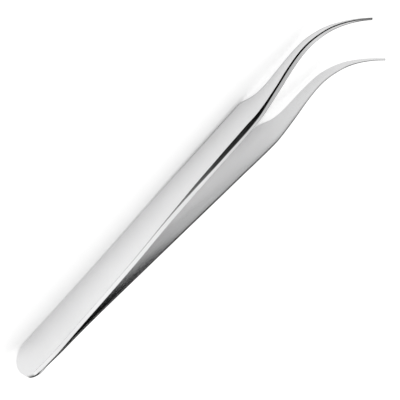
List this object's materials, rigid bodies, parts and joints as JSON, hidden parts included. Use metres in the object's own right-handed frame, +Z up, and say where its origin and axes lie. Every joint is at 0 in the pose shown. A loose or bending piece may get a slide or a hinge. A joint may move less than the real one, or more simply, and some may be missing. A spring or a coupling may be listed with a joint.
{
  "type": "aquascaping tweezers",
  "caption": "Curved fine-point steel tweezers: two sprung arms welded at a rounded heel, tapering through a shoulder to slender upswept tips.",
  "frame": {"origin": "bottom centre of the bounding box: half way along the length, on the mirror plane between the arms, in the plane the two straight side edges lie on", "axes": "+X from the heel to the tips, Y across the opening between the two mirrored arms, +Z up along the blade width, the way the curved tips rise"},
  "size_m": [0.12, 0.0168, 0.0119],
  "materials": {
    "polished_steel": "fine satin polish on the faces, brighter ground bevels",
    "weld_metal": "fused weld metal inside the heel"
  },
  "bodies": {
    "heel": {"arm_left_heel": "polished_steel", "arm_right_heel": "polished_steel", "heel_weld_nuggets": "weld_metal"},
    "blade_left": {"arm_left_blade": "polished_steel"},
    "blade_right": {"arm_right_blade": "polished_steel"}
  },
  "joints": [
    {"name": "arm_left_flex", "type": "hinge", "parent": "heel", "child": "blade_left", "pos_m": [-0.038, 0.00079, 0.0045], "axis": [0, 0, -1], "range_deg": [0, 4.7], "stiffness_Nm_per_rad": 1.5},
    {"name": "arm_right_flex", "type": "hinge", "parent": "heel", "child": "blade_right", "pos_m": [-0.038, -0.00079, 0.0045], "axis": [0, 0, 1], "range_deg": [0, 4.7], "stiffness_Nm_per_rad": 1.5}
  ],
  "couplings": [
    {"joint": "arm_right_flex", "follows": "arm_left_flex", "ratio": 1}
  ]
}
